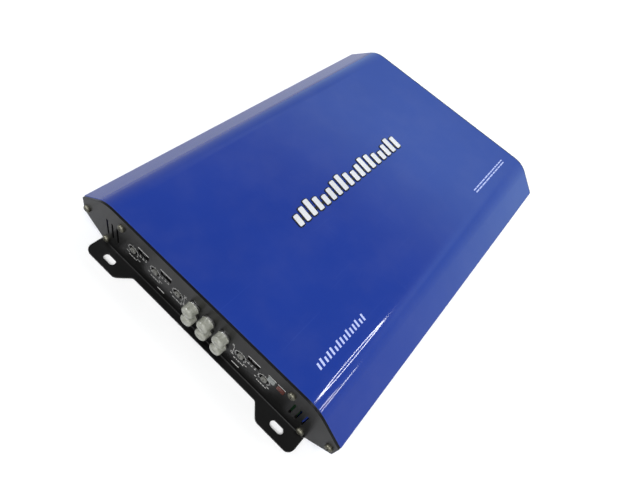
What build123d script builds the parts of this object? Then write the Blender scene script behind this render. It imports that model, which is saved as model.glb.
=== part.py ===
from build123d import *
import os

# A car amplifier: an extruded cover open at the bottom, two stamped end plates with mounting
# flanges, and the boards, jacks, controls, terminals and fuses between them.
# Millimetres. X is across the case, Y along it, Z up. The origin is under the middle of the
# case, on the plane of the mounting flanges. The control end faces -Y, the terminal end +Y.

# ------------------------------------------------------------------ driving dimensions
WIDTH = 240.0  # across the widest part of the cover
LENGTH = 328.0  # over the outer faces of the end plates
PLATE = 1.6  # end plate sheet
RISE = 49.7  # top of the cover above the top face of the flanges
TOP_HALF = 94.5  # half width of the flat top, to the unrounded shoulder
BASE_HALF = 101.15  # half width where the lower taper meets the flange
BELT_LOW = 14.1  # lower end of the upright side, above the flange
BELT_HIGH = 29.1  # upper end of the upright side, above the flange
SHOULDER_R = 26.0
BELT_R = 1.5
WALL = 2.4  # cover wall
END_BREAK = 0.35  # chamfer round the ends of the cover
PLATE_INSET = 0.4  # end plate outline inside the cover's

BASE = PLATE
TOP = BASE + RISE
HALF_L = LENGTH / 2
INNER_END = HALF_L - PLATE  # inner face of each end plate

# Mounting flanges
EAR_OUT = 14.8
STRIP_OUT = 5.3
EAR_INNER = 70.2
EAR_ROOT = 61.2
EAR_R = 5.5
BEND_R = 1.0
EDGE_BREAK = 0.3
SLOT_X = 83.4
SLOT_OUT = 7.8
SLOT_LONG = 11.0
SLOT_WIDE = 5.0

# End plate screws, as (half spacing, height above the flange)
UPPER_SCREW = (77.6, 39.0)
BELT_SCREW = (115.1, 20.5)
FOOT_SCREW = (96.3, 4.2)
BOSS_R = 3.4
SCREW_HOLE = 1.5
SHANK_R = 1.45
HEAD_R = 2.9
HEAD_H = 2.0

# Louvre slots at both sides of each end plate
LOUVRE_X = (82.8, 88.0, 93.3)
LOUVRE_Z = 23.0
LOUVRE_LONG = 18.0
LOUVRE_WIDE = 1.8

# Bottom plate
BOTTOM_Z = 1.8
BOTTOM_T = 1.2
BOTTOM_HALF = 101.0
LIP_TOP = 5.4
LIP_INNER = 84.0
BOTTOM_SCREW_X = 88.0
BOTTOM_SCREW_Y = (-141.0, -47.0, 47.0, 141.0)

# Cover ribs that take the transistors
RIB_X = 90.0
RIB_T = 3.5
RIB_LOW = 14.0
RIB_TOP = 49.0

# Boards
BOARD_T = 1.6
BOARD_Z = 9.0
BOARD_HALF = 88.5
BOARD_FRONT = -161.0
BOARD_REAR = 161.0
BOARD_TOP = BOARD_Z + BOARD_T
STANDOFF_SPOTS = [(x, y) for x in (-72.0, 72.0) for y in (-128.0, 0.0, 128.0)]
CONTROL_BOARD_Y = -153.4  # front face of the upright control board
CONTROL_HALF = 73.5
CONTROL_TOP = 44.0

# Jacks
JACK_X = (-6.8, 7.0, 20.8)
JACK_Z = (18.0, 30.5)  # above the flange
SHELL_R = 4.15
SHELL_BORE = 3.55
SHELL_OUT = 6.6
CAP_R = 5.05
CAP_GAP = 0.08  # radial clearance of a cap on its jack
CAP_NEAR = 1.0  # open end of a cap, out from the panel
CAP_FAR = 8.0  # closed end of a cap

# Rotary controls and slide switches, by what they set
POTS = {
    "front_level": -66.5,
    "front_highpass": -44.5,
    "bass_boost": -22.5,
    "rear_level": 36.5,
    "rear_lowpass": 57.5,
}
POT_Z = 25.0
POT_W = 8.0
POT_H = 9.0
POT_D = 5.5
BUSH_R = 3.2
BUSH_L = 1.8
SPINDLE_R = 2.5
SPINDLE_GAP = 0.05
SPINDLE_OUT = 1.0
POT_HOLE_R = 3.5
SWITCHES = {"front_crossover": -56.25, "input_mode": -34.25, "rear_crossover": 46.5}
SWITCH_REST = {"front_crossover": 0.0, "input_mode": -2.1, "rear_crossover": 0.0}
SWITCH_Z = 32.0
WINDOW_W = 10.3
WINDOW_H = 5.2
SWITCH_W = 11.6
SWITCH_H = 7.4
LEDS = {"power_light": 61.95, "protect_light": 69.9}
LED_Z = 31.6
LED_SIDE = 6.0

# Terminal end, seen from outside with x running to the right
SPEAKER_X = -38.0
SPEAKER_COUNT = 8
SPEAKER_PITCH = 9.5
POWER_X = 30.0
POWER_COUNT = 3
POWER_PITCH = 14.0
TERMINAL_OUT = 12.5
TERMINAL_IN = 5.4
CELL_LOW = 13.0
FUSE_X = (61.0, 71.0)
FUSE_Z = 24.0
HOLDER_W = 23.0
HOLDER_H = 25.0

# Working planes: the outer faces of the end plates, seen from outside
FRONT = Plane.XZ.offset(HALF_L)
REAR = Plane(origin=(0, HALF_L, 0), x_dir=(-1, 0, 0), z_dir=(0, 1, 0))
FRONT_FLANGE = Plane(origin=(0, -HALF_L, 0), x_dir=(-1, 0, 0), z_dir=(0, 0, 1))
REAR_FLANGE = Plane(origin=(0, HALF_L, 0), x_dir=(1, 0, 0), z_dir=(0, 0, 1))

os.makedirs("parts", exist_ok=True)


def save(piece, name):
    """Label a finished piece and write its file."""
    piece.label = name
    export_step(piece, f"parts/{name}.step")


def both_sides(spot):
    """A spot above the flange and its mirror image, in an end plate's plane."""
    x, z = spot
    return [(x, BASE + z), (-x, BASE + z)]


END_SCREWS = both_sides(UPPER_SCREW) + both_sides(BELT_SCREW) + both_sides(FOOT_SCREW)


# ------------------------------------------------------------------ case section
def case_section(inset):
    """The six-sided section of the case, moved in by inset."""
    half = [
        (BASE_HALF, BASE),
        (WIDTH / 2, BASE + BELT_LOW),
        (WIDTH / 2, BASE + BELT_HIGH),
        (TOP_HALF, TOP),
    ]
    with BuildSketch() as section:
        with BuildLine():
            Polyline(*half, *[(-x, z) for x, z in reversed(half)], close=True)
        make_face()
        shoulders = section.vertices().group_by(Axis.Y)[-1]
        fillet(shoulders, radius=SHOULDER_R)
        belts = section.vertices().filter_by(lambda v: abs(abs(v.X) - WIDTH / 2) < 0.01)
        fillet(belts, radius=BELT_R)
        if inset:
            offset(amount=-inset, kind=Kind.INTERSECTION)
    return section.sketch


def gap_to(outline, spot):
    """How far a spot lies from the outline of the section, seen along the case."""
    return min(edge.distance_to(Vector(spot.X, spot.Z, 0)) for edge in outline)


OUTER_SECTION = case_section(0)
INNER_SECTION = case_section(WALL)
PLATE_SECTION = case_section(PLATE_INSET)
TRANSISTOR_Y = (-110.0, -66.0, -22.0, 22.0, 66.0, 110.0)
CLAMP_SCREW_Y = (-88.0, -44.0, 0.0, 44.0, 88.0)
CLAMP_Z = 28.0

# ------------------------------------------------------------------ heatsink cover
with BuildPart() as heatsink_cover:
    with BuildSketch(Plane.XZ):
        add(OUTER_SECTION)
        add(INNER_SECTION, mode=Mode.SUBTRACT)
        skirt = BOTTOM_Z + BOTTOM_T
        with Locations((0, BASE)):
            Rectangle(2 * LIP_INNER, 2 * LIP_TOP, mode=Mode.SUBTRACT)
        for side in (-1, 1):
            # lower lip that the bottom plate screws to
            with Locations((side * (LIP_INNER + 102.5) / 2, (skirt + LIP_TOP) / 2)):
                Rectangle(102.5 - LIP_INNER, LIP_TOP - skirt)
            # hanging rib that the transistors are clamped to
            with Locations((side * (RIB_X + RIB_T / 2), (RIB_LOW + RIB_TOP) / 2)):
                Rectangle(RIB_T, RIB_TOP - RIB_LOW)
            # web from the top wall down to the upper screw channel
            with Locations((side * UPPER_SCREW[0], (BASE + UPPER_SCREW[1] + TOP - 1.2) / 2)):
                Rectangle(3.2, TOP - 1.2 - BASE - UPPER_SCREW[1])
            # three shallow grooves along the upright side
            for step in (-1, 0, 1):
                z = BASE + (BELT_LOW + BELT_HIGH) / 2 + 4.4 * step
                with Locations((side * WIDTH / 2, z)):
                    Rectangle(2.0, 1.8, mode=Mode.SUBTRACT)
        with Locations(*END_SCREWS):
            Circle(BOSS_R)
        with Locations((0, skirt)):
            Rectangle(WIDTH, 2 * skirt, align=(Align.CENTER, Align.MAX), mode=Mode.SUBTRACT)
        with Locations(*END_SCREWS):
            Circle(SCREW_HOLE, mode=Mode.SUBTRACT)
    extrude(amount=INNER_END, both=True)
    outline = OUTER_SECTION.edges()
    rims = heatsink_cover.edges().filter_by(lambda e: abs(abs(e.center().Y) - INNER_END) < 0.01)
    chamfer(rims.filter_by(lambda e: gap_to(outline, e @ 0.5) < 0.02), length=END_BREAK)
    with Locations(*[(x, y, LIP_TOP) for x in (-BOTTOM_SCREW_X, BOTTOM_SCREW_X) for y in BOTTOM_SCREW_Y]):
        Hole(SCREW_HOLE, depth=LIP_TOP)
    with Locations(Plane.YZ):
        with Locations(*[(y, CLAMP_Z) for y in CLAMP_SCREW_Y]):
            Cylinder(SCREW_HOLE, 2 * (RIB_X + RIB_T) + 1, mode=Mode.SUBTRACT)
save(heatsink_cover.part, "heatsink_cover")


# ------------------------------------------------------------------ end plates
def end_plate(face_plane, flange_plane, cutouts):
    """A stamped end plate: upright panel, bent-out flange, ears, slots and its cut-outs."""
    with BuildPart() as plate:
        with BuildSketch(face_plane):
            add(PLATE_SECTION)
        extrude(amount=-PLATE)
        with BuildSketch(flange_plane) as flange:
            with BuildLine():
                Polyline(
                    (-BASE_HALF, -PLATE),
                    (-BASE_HALF, EAR_OUT),
                    (-EAR_INNER, EAR_OUT),
                    (-EAR_ROOT, STRIP_OUT),
                    (EAR_ROOT, STRIP_OUT),
                    (EAR_INNER, EAR_OUT),
                    (BASE_HALF, EAR_OUT),
                    (BASE_HALF, -PLATE),
                    close=True,
                )
            make_face()
            fillet(flange.vertices().group_by(Axis.Y)[-1], radius=EAR_R)
            roots = flange.vertices().filter_by(lambda v: abs(abs(v.X) - EAR_ROOT) < 0.01)
            fillet(roots, radius=3.0)
            with Locations((-SLOT_X, SLOT_OUT), (SLOT_X, SLOT_OUT)):
                SlotOverall(SLOT_LONG, SLOT_WIDE, mode=Mode.SUBTRACT)
        extrude(amount=PLATE + PLATE_INSET)
        with BuildSketch(Plane.XY.offset(PLATE)):
            Rectangle(WIDTH * 2, LENGTH * 2)
            Rectangle(WIDTH * 2, 2 * HALF_L, mode=Mode.SUBTRACT)
        extrude(amount=PLATE, mode=Mode.SUBTRACT)
        along = plate.edges().filter_by(Axis.X)
        face_y = face_plane.origin.Y
        inner_y = face_y - face_plane.z_dir.Y * PLATE
        inside_bend = along.filter_by(
            lambda e: abs(e.center().Y - face_y) < 0.01 and abs(e.center().Z - PLATE) < 0.01
        )
        fillet(inside_bend, radius=BEND_R)
        outside_bend = plate.edges().filter_by(Axis.X).filter_by(
            lambda e: abs(e.center().Y - inner_y) < 0.01 and e.center().Z < 0.01
        )
        fillet(outside_bend, radius=BEND_R + PLATE)
        rolled = plate.edges().filter_by(
            lambda e: abs(e.center().Y - face_y) < 0.01 and e.center().Z > PLATE + 1.3 * BEND_R
        )
        chamfer(rolled, length=EDGE_BREAK)
        with BuildSketch(face_plane):
            with Locations(*END_SCREWS):
                Circle(1.9)
            louvres = [(side * x, BASE + LOUVRE_Z) for side in (-1, 1) for x in LOUVRE_X]
            with Locations(*louvres):
                SlotOverall(LOUVRE_LONG, LOUVRE_WIDE, rotation=90)
            add(cutouts)
        extrude(amount=-PLATE, mode=Mode.SUBTRACT)
    return plate.part


with BuildSketch() as control_cutouts:
    with Locations(*[(x, BASE + POT_Z) for x in POTS.values()]):
        Circle(POT_HOLE_R)
    with Locations(*[(x, BASE + SWITCH_Z) for x in SWITCHES.values()]):
        RectangleRounded(WINDOW_W, WINDOW_H, 0.4)
    with Locations(*[(x, BASE + LED_Z) for x in LEDS.values()]):
        RectangleRounded(LED_SIDE + 0.5, LED_SIDE + 0.5, 0.6)
    with Locations(*[(x, BASE + z) for x in JACK_X for z in JACK_Z]):
        Circle(CAP_R)

SPEAKER_W = SPEAKER_COUNT * SPEAKER_PITCH + 2.0
SPEAKER_TOP = 28.6
POWER_W = POWER_COUNT * POWER_PITCH + 2.0
POWER_TOP = 32.0
EDGE_GAP = 0.4
with BuildSketch() as terminal_cutouts:
    for x, wide, top in ((SPEAKER_X, SPEAKER_W, SPEAKER_TOP), (POWER_X, POWER_W, POWER_TOP)):
        with Locations((x, (BOARD_TOP + top) / 2)):
            Rectangle(wide + 2 * EDGE_GAP, top - BOARD_TOP + 2 * EDGE_GAP)
    with Locations((sum(FUSE_X) / 2, FUSE_Z)):
        Rectangle(HOLDER_W + 2 * EDGE_GAP, HOLDER_H + 2 * EDGE_GAP)

save(end_plate(FRONT, FRONT_FLANGE, control_cutouts.sketch), "control_end_plate")
save(end_plate(REAR, REAR_FLANGE, terminal_cutouts.sketch), "terminal_end_plate")

# ------------------------------------------------------------------ bottom plate
with BuildPart() as bottom_plate:
    with BuildSketch(Plane.XY.offset(BOTTOM_Z)):
        Rectangle(2 * BOTTOM_HALF, 2 * (INNER_END - BEND_R - PLATE))
        with Locations(*[(x, y) for x in (-BOTTOM_SCREW_X, BOTTOM_SCREW_X) for y in BOTTOM_SCREW_Y]):
            Circle(1.7, mode=Mode.SUBTRACT)
        with GridLocations(96.0, 14.0, 2, 5):
            SlotOverall(40.0, 3.2, mode=Mode.SUBTRACT)
    extrude(amount=BOTTOM_T)
save(bottom_plate.part, "bottom_plate")


# ------------------------------------------------------------------ screws
def screw(head_r, head_h, shank_r, shank_l):
    """A pan-head screw on the origin, head up, with a cross recess."""
    with BuildPart() as body:
        with BuildSketch():
            Circle(head_r)
        extrude(amount=head_h)
        fillet(body.edges().group_by(Axis.Z)[-1], radius=head_h * 0.7)
        with BuildSketch(Plane.XY.offset(head_h)):
            Rectangle(head_r * 1.1, head_r * 0.24)
            Rectangle(head_r * 0.24, head_r * 1.1)
        extrude(amount=-head_h * 0.55, mode=Mode.SUBTRACT)
        with BuildSketch():
            Circle(shank_r)
        extrude(amount=-shank_l)
    return body.part


def screw_set(name, plane, spots, pattern):
    """The same screw at every spot of one plane, as separate solids of one node."""
    with BuildPart(plane) as screws:
        with Locations(*spots):
            add(pattern)
    save(screws.part, name)


END_SCREW = screw(HEAD_R, HEAD_H, SHANK_R, 14.0)
screw_set("control_end_screws", FRONT, END_SCREWS, END_SCREW)
screw_set("terminal_end_screws", REAR, END_SCREWS, END_SCREW)
UNDERSIDE = Plane(origin=(0, 0, BOTTOM_Z), x_dir=(1, 0, 0), z_dir=(0, 0, -1))
screw_set(
    "bottom_plate_screws",
    UNDERSIDE,
    [(x, y) for x in (-BOTTOM_SCREW_X, BOTTOM_SCREW_X) for y in BOTTOM_SCREW_Y],
    screw(2.6, 1.5, SHANK_R, 5.2),
)

# ------------------------------------------------------------------ badge on the top
BADGE_BASELINE = 2.4
BADGE_MIDDLE = -2.8
BADGE_PITCH = 8.0
BADGE_BAR = 4.6
BADGE_LEAN = 0.18
BADGE_CORNER = 1.1
BADGE_BARS = (10.0, 12.5, 15.0, 12.0, 9.0, 11.0, 14.0, 15.5, 12.5) + (
    10.0, 12.5, 15.5, 14.0, 11.0, 9.0, 12.0, 15.0, 12.5
)
BADGE_EDGE = 0.9
BADGE_SPINE = 2.4
BADGE_BASE_T = 0.5
BADGE_BAR_T = 0.9


def badge_level(growth):
    """The leaning level bars of the badge, each grown by growth all round."""
    middle = (len(BADGE_BARS) - 1) / 2
    with BuildSketch() as bars:
        for index, height in enumerate(BADGE_BARS):
            start = BADGE_MIDDLE + (index - middle) * BADGE_PITCH - BADGE_BAR / 2
            lean = height * BADGE_LEAN / 2
            with BuildLine():
                Polyline(
                    (BADGE_BASELINE, start - lean),
                    (BADGE_BASELINE, start + BADGE_BAR - lean),
                    (BADGE_BASELINE - height, start + BADGE_BAR + lean),
                    (BADGE_BASELINE - height, start + lean),
                    close=True,
                )
            make_face()
        fillet(bars.vertices(), radius=BADGE_CORNER)
        if growth:
            offset(amount=growth, kind=Kind.ARC)
    return bars.sketch


with BuildPart() as badge_base:
    with BuildSketch(Plane.XY.offset(TOP)):
        add(badge_level(BADGE_EDGE))
        with Locations((BADGE_BASELINE - 4.0, BADGE_MIDDLE)):
            Rectangle(BADGE_SPINE, BADGE_PITCH * (len(BADGE_BARS) - 1))
    extrude(amount=BADGE_BASE_T)
save(badge_base.part, "badge_base")

with BuildPart() as badge_face:
    with BuildSketch(Plane.XY.offset(TOP + BADGE_BASE_T)):
        add(badge_level(0))
    extrude(amount=BADGE_BAR_T)
    chamfer(badge_face.edges().group_by(Axis.Z)[-1], length=0.35)
save(badge_face.part, "badge_bars")

# ------------------------------------------------------------------ input jacks
JACKS = [(x, BASE + z) for x in JACK_X for z in JACK_Z]
JACK_BLOCK_D = 14.0
JACK_BLOCK_TOP = 38.8
COLLAR_R = 4.8
SHELL_IN = 6.0
CONTACT_R = 1.7
CONTACT_BORE = 1.3
BLOCK_FACE = FRONT.offset(-PLATE - 0.2)
with BuildPart() as rca_jack_block:
    with BuildSketch(BLOCK_FACE):
        with Locations(((JACK_X[0] + JACK_X[-1]) / 2, (BOARD_TOP + JACK_BLOCK_TOP) / 2)):
            Rectangle(JACK_X[-1] - JACK_X[0] + 13.6, JACK_BLOCK_TOP - BOARD_TOP)
    extrude(amount=-JACK_BLOCK_D)
    with BuildSketch(BLOCK_FACE):
        with Locations(*JACKS):
            Circle(COLLAR_R)
    extrude(amount=PLATE + 0.6)
    with BuildSketch(FRONT.offset(0.4)):
        with Locations(*JACKS):
            Circle(SHELL_R)
    extrude(amount=-SHELL_IN - 0.4, mode=Mode.SUBTRACT)
save(rca_jack_block.part, "rca_jack_block")

with BuildPart() as rca_jack_shells:
    with BuildSketch(FRONT.offset(SHELL_OUT)):
        with Locations(*JACKS):
            Circle(SHELL_R)
            Circle(SHELL_BORE, mode=Mode.SUBTRACT)
    extrude(amount=-SHELL_OUT - SHELL_IN)
    chamfer(rca_jack_shells.edges().group_by(Axis.Y)[0], length=0.25)
save(rca_jack_shells.part, "rca_jack_shells")

with BuildPart() as rca_insulators:
    with BuildSketch(FRONT.offset(SHELL_OUT - 2.0)):
        with Locations(*JACKS):
            Circle(SHELL_BORE)
            Circle(CONTACT_R, mode=Mode.SUBTRACT)
    extrude(amount=-SHELL_OUT + 2.0 - SHELL_IN)
save(rca_insulators.part, "rca_insulators")

with BuildPart() as rca_centre_contacts:
    with BuildSketch(FRONT.offset(SHELL_OUT - 2.6)):
        with Locations(*JACKS):
            Circle(CONTACT_R)
            Circle(CONTACT_BORE, mode=Mode.SUBTRACT)
    extrude(amount=-SHELL_OUT + 2.6 - SHELL_IN)
save(rca_centre_contacts.part, "rca_centre_contacts")

# Soft dust cap: a cup with a rounded nose and a thin rim at its open end
with BuildPart() as cap_pattern:
    with BuildSketch(Plane.XY.offset(CAP_NEAR)):
        Circle(CAP_R)
    extrude(amount=CAP_FAR - CAP_NEAR)
    fillet(cap_pattern.edges().group_by(Axis.Z)[-1], radius=1.7)
    with BuildSketch(Plane.XY.offset(CAP_NEAR)):
        Circle(SHELL_R + CAP_GAP)
    extrude(amount=SHELL_OUT + 0.3 - CAP_NEAR, mode=Mode.SUBTRACT)
for number, spot in enumerate(JACKS, start=1):
    with BuildPart(FRONT) as cap:
        with Locations(spot):
            add(cap_pattern.part)
    save(cap.part, f"rca_cap_{number}")

# ------------------------------------------------------------------ rotary controls
POT_BACK = -HALF_L - CONTROL_BOARD_Y  # the control board's face, measured out from the panel
with BuildPart() as pot_pattern:
    with BuildSketch(Plane.XY.offset(POT_BACK)):
        Rectangle(POT_W, POT_H)
    extrude(amount=POT_D)
    with BuildSketch(Plane.XY.offset(POT_BACK + POT_D)):
        Circle(BUSH_R)
    extrude(amount=BUSH_L)
    with BuildSketch(Plane.XY.offset(POT_BACK + POT_D + BUSH_L)):
        Circle(SPINDLE_R + SPINDLE_GAP)
    extrude(amount=-POT_D - BUSH_L + 1.2, mode=Mode.SUBTRACT)

with BuildPart() as spindle_pattern:
    with BuildSketch(Plane.XY.offset(POT_BACK + 1.5)):
        Circle(SPINDLE_R)
    extrude(amount=SPINDLE_OUT - POT_BACK - 1.5)
    chamfer(spindle_pattern.edges().group_by(Axis.Z)[-1], length=0.3)
    with BuildSketch(Plane.XY.offset(SPINDLE_OUT)):
        Rectangle(0.9, 4.0)
    extrude(amount=-1.1, mode=Mode.SUBTRACT)

for name, x in POTS.items():
    with BuildPart(FRONT) as pot:
        with Locations((x, BASE + POT_Z)):
            add(pot_pattern.part)
    save(pot.part, f"pot_body_{name}")
    with BuildPart(FRONT) as spindle:
        with Locations((x, BASE + POT_Z)):
            add(spindle_pattern.part)
    save(spindle.part, f"pot_spindle_{name}")

# ------------------------------------------------------------------ slide switches
SWITCH_FRONT = -PLATE - 0.3
SWITCH_SLOT_W = 8.8
SWITCH_SLOT_H = 3.0
SWITCH_LIP = 1.3
SWITCH_CAVITY_W = 10.4
SWITCH_CAVITY_H = 4.6
SWITCH_CAVITY_D = 2.2
with BuildPart() as switch_pattern:
    with BuildSketch(Plane.XY.offset(POT_BACK)):
        Rectangle(SWITCH_W, SWITCH_H)
    extrude(amount=SWITCH_FRONT - POT_BACK)
    with BuildSketch(Plane.XY.offset(SWITCH_FRONT)):
        Rectangle(SWITCH_SLOT_W, SWITCH_SLOT_H)
    extrude(amount=-SWITCH_LIP, mode=Mode.SUBTRACT)
    with BuildSketch(Plane.XY.offset(SWITCH_FRONT - SWITCH_LIP)):
        Rectangle(SWITCH_CAVITY_W, SWITCH_CAVITY_H)
    extrude(amount=-SWITCH_CAVITY_D, mode=Mode.SUBTRACT)

with BuildPart() as slider_pattern:
    with BuildSketch(Plane.XY.offset(SWITCH_FRONT - SWITCH_LIP - 0.3)):
        Rectangle(4.4, 4.0)
    extrude(amount=-1.6)
    with BuildSketch(Plane.XY.offset(SWITCH_FRONT - SWITCH_LIP - 0.3)):
        Rectangle(3.0, 2.4)
    extrude(amount=SWITCH_LIP + 1.5)
    with BuildSketch(Plane.XY.offset(SWITCH_FRONT + 1.2)):
        with GridLocations(0.9, 1.0, 3, 1):
            Rectangle(0.3, 2.4)
    extrude(amount=-0.4, mode=Mode.SUBTRACT)

for name, x in SWITCHES.items():
    with BuildPart(FRONT) as switch:
        with Locations((x, BASE + SWITCH_Z)):
            add(switch_pattern.part)
    save(switch.part, f"switch_body_{name}")
    with BuildPart(FRONT) as slider:
        with Locations((x + SWITCH_REST[name], BASE + SWITCH_Z)):
            add(slider_pattern.part)
    save(slider.part, f"switch_slider_{name}")

# ------------------------------------------------------------------ indicator lights
with BuildPart() as light_pattern:
    with BuildSketch(Plane.XY.offset(-3.4)):
        RectangleRounded(LED_SIDE, LED_SIDE, 0.5)
    extrude(amount=3.7)
    chamfer(light_pattern.edges().group_by(Axis.Z)[-1], length=0.25)
    with BuildSketch(Plane.XY.offset(-3.4)):
        with Locations((0, 1.2)):
            Circle(1.5)
    extrude(amount=POT_BACK + 3.4)
for name, x in LEDS.items():
    with BuildPart(FRONT) as light:
        with Locations((x, BASE + LED_Z)):
            add(light_pattern.part)
    save(light.part, name)

# ------------------------------------------------------------------ boards
with BuildPart() as main_board:
    with BuildSketch(Plane.XY.offset(BOARD_Z)):
        with Locations((0, (BOARD_FRONT + BOARD_REAR) / 2)):
            Rectangle(2 * BOARD_HALF, BOARD_REAR - BOARD_FRONT)
        with Locations(*STANDOFF_SPOTS):
            Circle(1.7, mode=Mode.SUBTRACT)
    extrude(amount=BOARD_T)
save(main_board.part, "main_board")

with BuildPart() as control_board:
    with BuildSketch(Plane.XZ.offset(-CONTROL_BOARD_Y)):
        with Locations((0, (BOARD_TOP + CONTROL_TOP) / 2)):
            Rectangle(2 * CONTROL_HALF, CONTROL_TOP - BOARD_TOP)
        with Locations(((JACK_X[0] + JACK_X[-1]) / 2, BOARD_TOP)):
            Rectangle(
                JACK_X[-1] - JACK_X[0] + 15.0,
                JACK_BLOCK_TOP - BOARD_TOP + 0.6,
                align=(Align.CENTER, Align.MIN),
                mode=Mode.SUBTRACT,
            )
    extrude(amount=-BOARD_T)
save(control_board.part, "control_board")

with BuildPart() as standoffs:
    with BuildSketch(Plane.XY.offset(BOTTOM_Z + BOTTOM_T)):
        with Locations(*STANDOFF_SPOTS):
            RegularPolygon(3.0, 6)
            Circle(SCREW_HOLE, mode=Mode.SUBTRACT)
    extrude(amount=BOARD_Z - BOTTOM_Z - BOTTOM_T)
save(standoffs.part, "board_standoffs")
screw_set("board_screws", Plane.XY.offset(BOARD_TOP), STANDOFF_SPOTS, screw(2.8, 1.8, SHANK_R, 6.0))

# ------------------------------------------------------------------ power supply parts
COIL_SPOT = (-8.0, 70.0)
COIL_R = 24.0
COIL_BORE = 9.0
COIL_H = 22.0
CORE_MARGIN = 3.0
with BuildPart() as transformer_winding:
    with BuildSketch(Plane.XY.offset(BOARD_TOP)):
        with Locations(COIL_SPOT):
            Circle(COIL_R)
            Circle(COIL_BORE, mode=Mode.SUBTRACT)
    extrude(amount=COIL_H)
    rims = transformer_winding.edges().filter_by(GeomType.CIRCLE)
    fillet(rims, radius=4.0)
    with BuildSketch(Plane.XY.offset(BOARD_TOP + CORE_MARGIN)):
        with Locations(COIL_SPOT):
            Circle(COIL_R - CORE_MARGIN)
            Circle(COIL_BORE + CORE_MARGIN, mode=Mode.SUBTRACT)
    extrude(amount=COIL_H - 2 * CORE_MARGIN, mode=Mode.SUBTRACT)
save(transformer_winding.part, "transformer_winding")

with BuildPart() as transformer_core:
    with BuildSketch(Plane.XY.offset(BOARD_TOP + CORE_MARGIN)):
        with Locations(COIL_SPOT):
            Circle(COIL_R - CORE_MARGIN)
            Circle(COIL_BORE + CORE_MARGIN, mode=Mode.SUBTRACT)
    extrude(amount=COIL_H - 2 * CORE_MARGIN)
save(transformer_core.part, "transformer_core")

CHOKE_SPOT = (-40.0, 118.0)
with BuildPart() as input_choke:
    with BuildSketch(Plane.XY.offset(BOARD_TOP)):
        with Locations(CHOKE_SPOT):
            Circle(13.0)
            Circle(5.0, mode=Mode.SUBTRACT)
    extrude(amount=13.0)
    fillet(input_choke.edges().filter_by(GeomType.CIRCLE), radius=3.0)
save(input_choke.part, "input_choke")

CAPACITOR_SPOTS = [(-48.0, 20.0), (-24.0, 20.0), (16.0, 20.0), (40.0, 20.0), (46.0, 62.0), (46.0, 88.0)]
with BuildPart() as reservoir_capacitors:
    with BuildSketch(Plane.XY.offset(BOARD_TOP)):
        with Locations(*CAPACITOR_SPOTS):
            Circle(9.0)
    extrude(amount=31.0)
    chamfer(reservoir_capacitors.edges().group_by(Axis.Z)[-1], length=0.8)
save(reservoir_capacitors.part, "reservoir_capacitors")

# ------------------------------------------------------------------ transistors and clamps
PAD_T = 0.4
DEVICE_T = 4.8
DEVICE_W = 15.6
DEVICE_LOW = 17.0
DEVICE_H = 20.0
CLAMP_T = 3.0
PAD_FACE = RIB_X - PAD_T
DEVICE_FACE = PAD_FACE - DEVICE_T
for side, name in ((-1, "left"), (1, "right")):
    with BuildPart() as devices:
        with BuildSketch(Plane.YZ.offset(side * PAD_FACE)):
            with Locations(*[(y, DEVICE_LOW + DEVICE_H / 2) for y in TRANSISTOR_Y]):
                Rectangle(DEVICE_W, DEVICE_H)
        extrude(amount=-side * DEVICE_T)
        with BuildSketch(Plane.YZ.offset(side * (PAD_FACE - 2.2))):
            for y in TRANSISTOR_Y:
                with Locations((y, (BOARD_TOP + DEVICE_LOW) / 2)):
                    with GridLocations(5.45, 1.0, 3, 1):
                        Rectangle(1.2, DEVICE_LOW - BOARD_TOP)
        extrude(amount=-side * 0.6)
    save(devices.part, f"power_transistors_{name}")

with BuildPart() as transistor_pads:
    for side in (-1, 1):
        with BuildSketch(Plane.YZ.offset(side * RIB_X)):
            with Locations(*[(y, DEVICE_LOW + DEVICE_H / 2) for y in TRANSISTOR_Y]):
                Rectangle(DEVICE_W + 2.4, DEVICE_H + 2.4)
        extrude(amount=-side * PAD_T)
save(transistor_pads.part, "transistor_pads")

with BuildPart() as transistor_clamps:
    for side in (-1, 1):
        with BuildSketch(Plane.YZ.offset(side * DEVICE_FACE)):
            with Locations((0, CLAMP_Z)):
                Rectangle(TRANSISTOR_Y[-1] - TRANSISTOR_Y[0] + 20.0, 10.0)
            with Locations(*[(y, CLAMP_Z) for y in CLAMP_SCREW_Y]):
                Circle(1.7, mode=Mode.SUBTRACT)
        extrude(amount=-side * CLAMP_T)
save(transistor_clamps.part, "transistor_clamps")

CLAMP_SCREW = screw(2.8, 1.8, SHANK_R, 11.5)
with BuildPart() as clamp_screws:
    for side in (-1, 1):
        head_plane = Plane(
            origin=(side * (DEVICE_FACE - CLAMP_T), 0, 0), x_dir=(0, -side, 0), z_dir=(-side, 0, 0)
        )
        with Locations(head_plane):
            with Locations(*[(y, CLAMP_Z) for y in CLAMP_SCREW_Y]):
                add(CLAMP_SCREW)
save(clamp_screws.part, "clamp_screws")


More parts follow.
